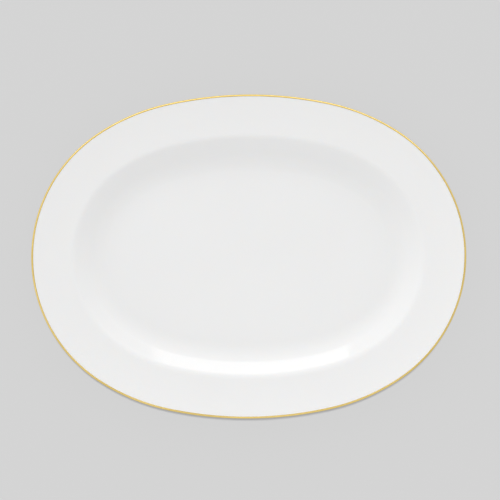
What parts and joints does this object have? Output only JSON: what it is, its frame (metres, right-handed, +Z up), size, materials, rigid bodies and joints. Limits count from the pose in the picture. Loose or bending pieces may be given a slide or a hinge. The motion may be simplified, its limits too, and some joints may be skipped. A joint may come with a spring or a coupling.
{
  "type": "oval serving platter",
  "caption": "Oval serving platter in white glazed china with a flat well, a curved wall, a broad gently flared rim, a thin gold line on the lip and a foot ring under the base.",
  "frame": {"origin": "on the table plane, under the centre of the platter, in the middle of the foot ring's resting face", "axes": "+Z up out of the well, +X along the oval's long axis, +Y along its short axis"},
  "size_m": [0.3562, 0.2662, 0.0233],
  "materials": {
    "biscuit_china": "fired unglazed bone china, fine matt",
    "clear_glaze": "clear gloss glaze over white china",
    "burnished_gold": "burnished fired-on gold"
  },
  "bodies": {
    "root": {"china_body": "biscuit_china", "face_glaze": "clear_glaze", "base_glaze": "clear_glaze", "gold_edge_line": "burnished_gold"}
  },
  "joints": []
}
